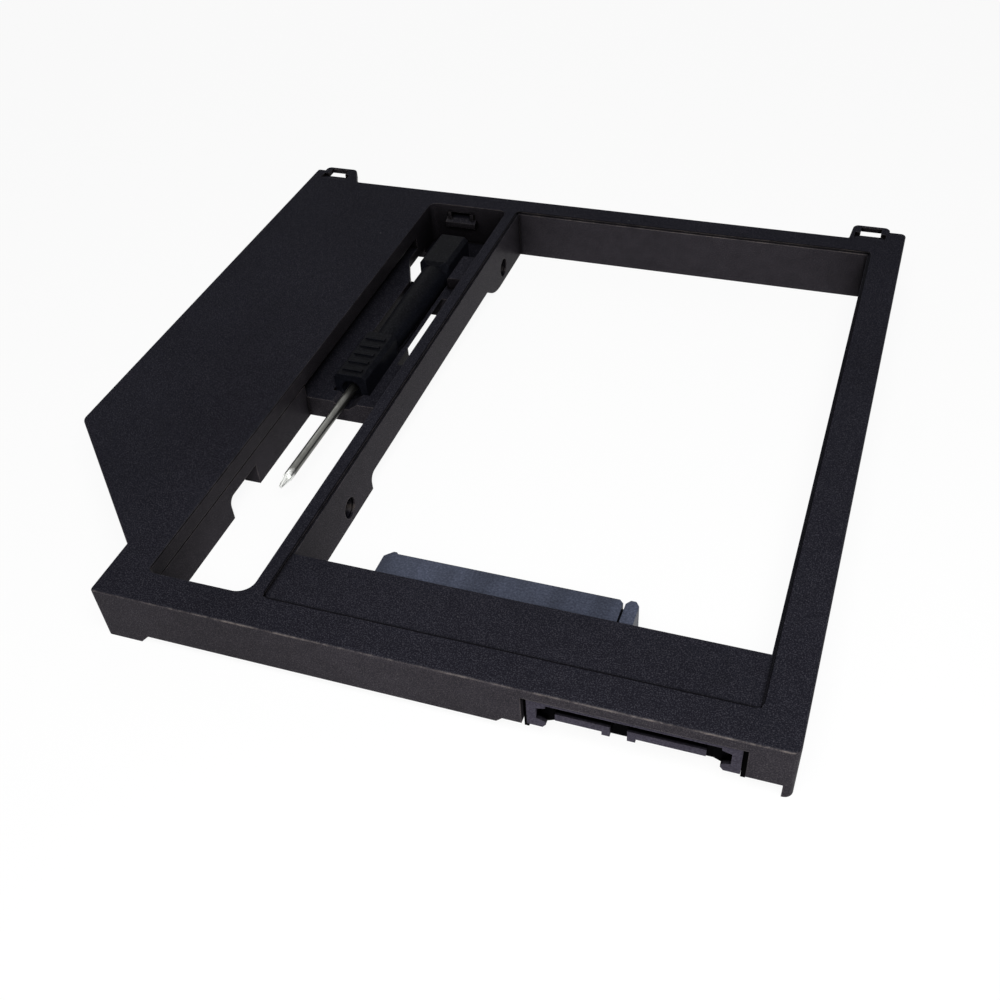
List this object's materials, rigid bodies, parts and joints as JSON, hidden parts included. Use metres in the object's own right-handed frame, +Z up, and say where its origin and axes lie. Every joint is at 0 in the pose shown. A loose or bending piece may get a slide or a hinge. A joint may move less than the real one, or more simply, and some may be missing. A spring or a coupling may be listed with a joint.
{
  "type": "laptop drive caddy",
  "caption": "Black plastic caddy that fits a laptop's optical drive bay and holds a small drive, with a slim cross-tip screwdriver stowed in it.",
  "frame": {"origin": "the middle of the object's bounding box in plan, on the plane that its flat underside rests on", "axes": "+Z is up, out of the flat top panel. +Y runs from the bay plug in the front bar to the bezel lugs at the back, along the 131 mm length. +X runs from the thin wing to the right-hand rail."},
  "size_m": [0.127, 0.131, 0.0095],
  "materials": {
    "frame_plastic": "fine grain",
    "board_laminate": "satin",
    "screw_steel": "plated",
    "capacitor_ceramic": "matt",
    "socket_plastic": "satin",
    "plug_plastic": "satin",
    "contact_metal": "bright",
    "handle_plastic": "satin",
    "shaft_steel": "drawn"
  },
  "bodies": {
    "root": {"caddy_frame": "frame_plastic", "adapter_board": "board_laminate", "board_screws": "screw_steel", "board_capacitor_1": "capacitor_ceramic", "board_capacitor_2": "capacitor_ceramic", "board_capacitor_3": "capacitor_ceramic", "board_capacitor_4": "capacitor_ceramic", "drive_socket_housing": "socket_plastic", "socket_power_contact_01": "contact_metal", "socket_power_contact_02": "contact_metal", "socket_power_contact_03": "contact_metal", "socket_power_contact_04": "contact_metal", "socket_power_contact_05": "contact_metal", "socket_power_contact_06": "contact_metal", "socket_power_contact_07": "contact_metal", "socket_power_contact_08": "contact_metal", "socket_power_contact_09": "contact_metal", "socket_power_contact_10": "contact_metal", "socket_power_contact_11": "contact_metal", "socket_power_contact_12": "contact_metal", "socket_power_contact_13": "contact_metal", "socket_power_contact_14": "contact_metal", "socket_power_contact_15": "contact_metal", "socket_signal_contact_1": "contact_metal", "socket_signal_contact_2": "contact_metal", "socket_signal_contact_3": "contact_metal", "socket_signal_contact_4": "contact_metal", "socket_signal_contact_5": "contact_metal", "socket_signal_contact_6": "contact_metal", "socket_signal_contact_7": "contact_metal", "bay_plug_housing": "plug_plastic", "plug_power_contact_1": "contact_metal", "plug_power_contact_2": "contact_metal", "plug_power_contact_3": "contact_metal", "plug_power_contact_4": "contact_metal", "plug_power_contact_5": "contact_metal", "plug_power_contact_6": "contact_metal", "plug_signal_contact_1": "contact_metal", "plug_signal_contact_2": "contact_metal", "plug_signal_contact_3": "contact_metal", "plug_signal_contact_4": "contact_metal", "plug_signal_contact_5": "contact_metal", "plug_signal_contact_6": "contact_metal", "plug_signal_contact_7": "contact_metal", "screwdriver_handle": "handle_plastic", "screwdriver_shaft": "shaft_steel"}
  },
  "joints": []
}
